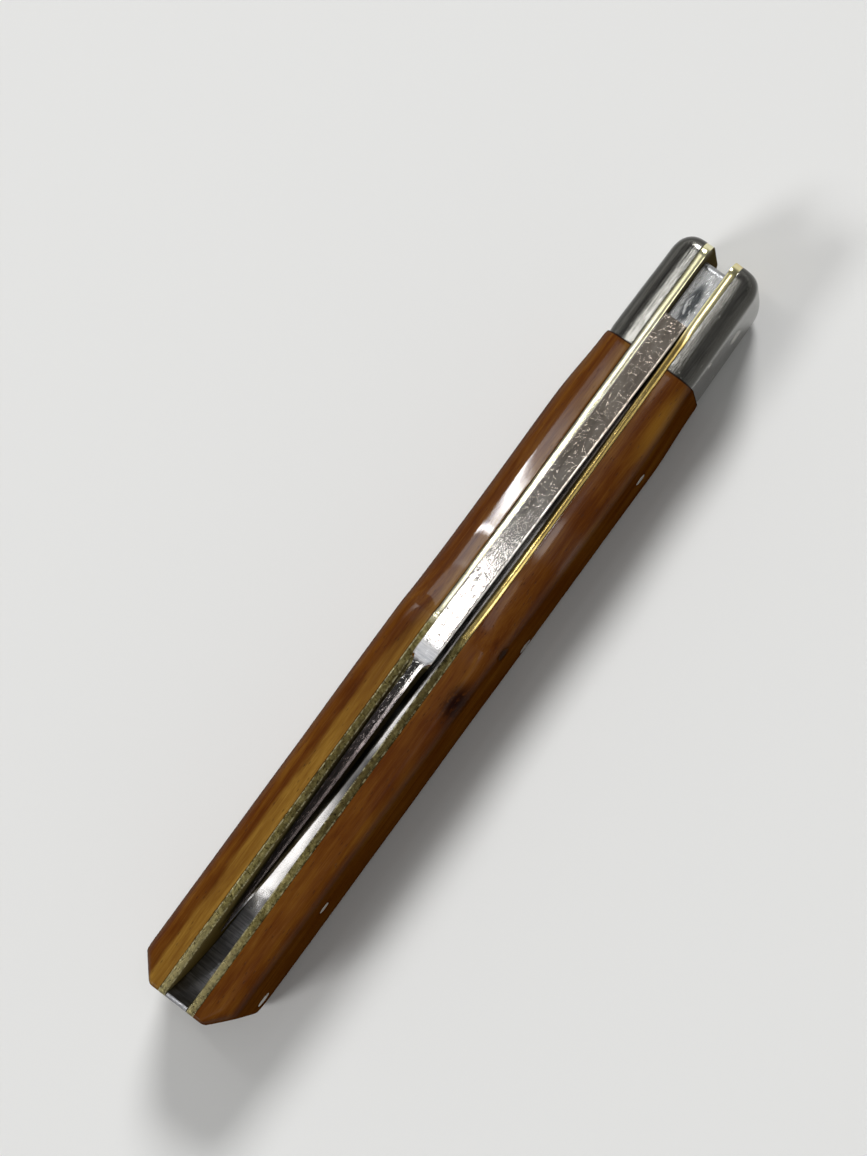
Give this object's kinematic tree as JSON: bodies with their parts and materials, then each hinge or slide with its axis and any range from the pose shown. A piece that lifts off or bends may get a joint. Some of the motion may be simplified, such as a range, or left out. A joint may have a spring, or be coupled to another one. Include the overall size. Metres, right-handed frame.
{
  "type": "pocket knife",
  "caption": "Folding slip-joint pocket knife with polished amber bone covers, brass liners and white-metal bolsters at the pivot end.",
  "frame": {"origin": "middle of the flat back that the closed knife stands on", "axes": "+X along the handle towards the pivot end, +Y towards the left cover, +Z out of the opening edge"},
  "size_m": [0.095, 0.012, 0.0157],
  "materials": {
    "blade_steel": "ground and polished steel with fine scratches",
    "spring_steel": "ground steel, cross-ground on the ramp",
    "liner_brass": "polished brass edge, file-marked on the butt half",
    "cover_bone": "polished amber-dyed bone with a lengthwise grain",
    "bolster_metal": "satin nickel silver, brushed lengthwise",
    "pin_metal": "nickel silver, ground flush"
  },
  "bodies": {
    "handle": {"back_spring": "spring_steel", "liner_left": "liner_brass", "liner_right": "liner_brass", "cover_left": "cover_bone", "cover_right": "cover_bone", "bolster_left": "bolster_metal", "bolster_right": "bolster_metal", "pivot_pin": "pin_metal", "spring_centre_pin": "pin_metal", "spring_butt_pin": "pin_metal", "cover_pin_left_front": "pin_metal", "cover_pin_left_rear": "pin_metal", "cover_pin_right_front": "pin_metal", "cover_pin_right_rear": "pin_metal", "bolster_rivet_left_upper": "pin_metal", "bolster_rivet_left_lower": "pin_metal", "bolster_rivet_right_upper": "pin_metal", "bolster_rivet_right_lower": "pin_metal"},
    "blade": {"blade": "blade_steel"}
  },
  "joints": [
    {"name": "blade_pivot", "type": "hinge", "parent": "handle", "child": "blade", "pos_m": [0.0415, 0, 0.0068], "axis": [0, 1, 0], "range_deg": [0, 180], "deforming": ["back_spring"]}
  ]
}
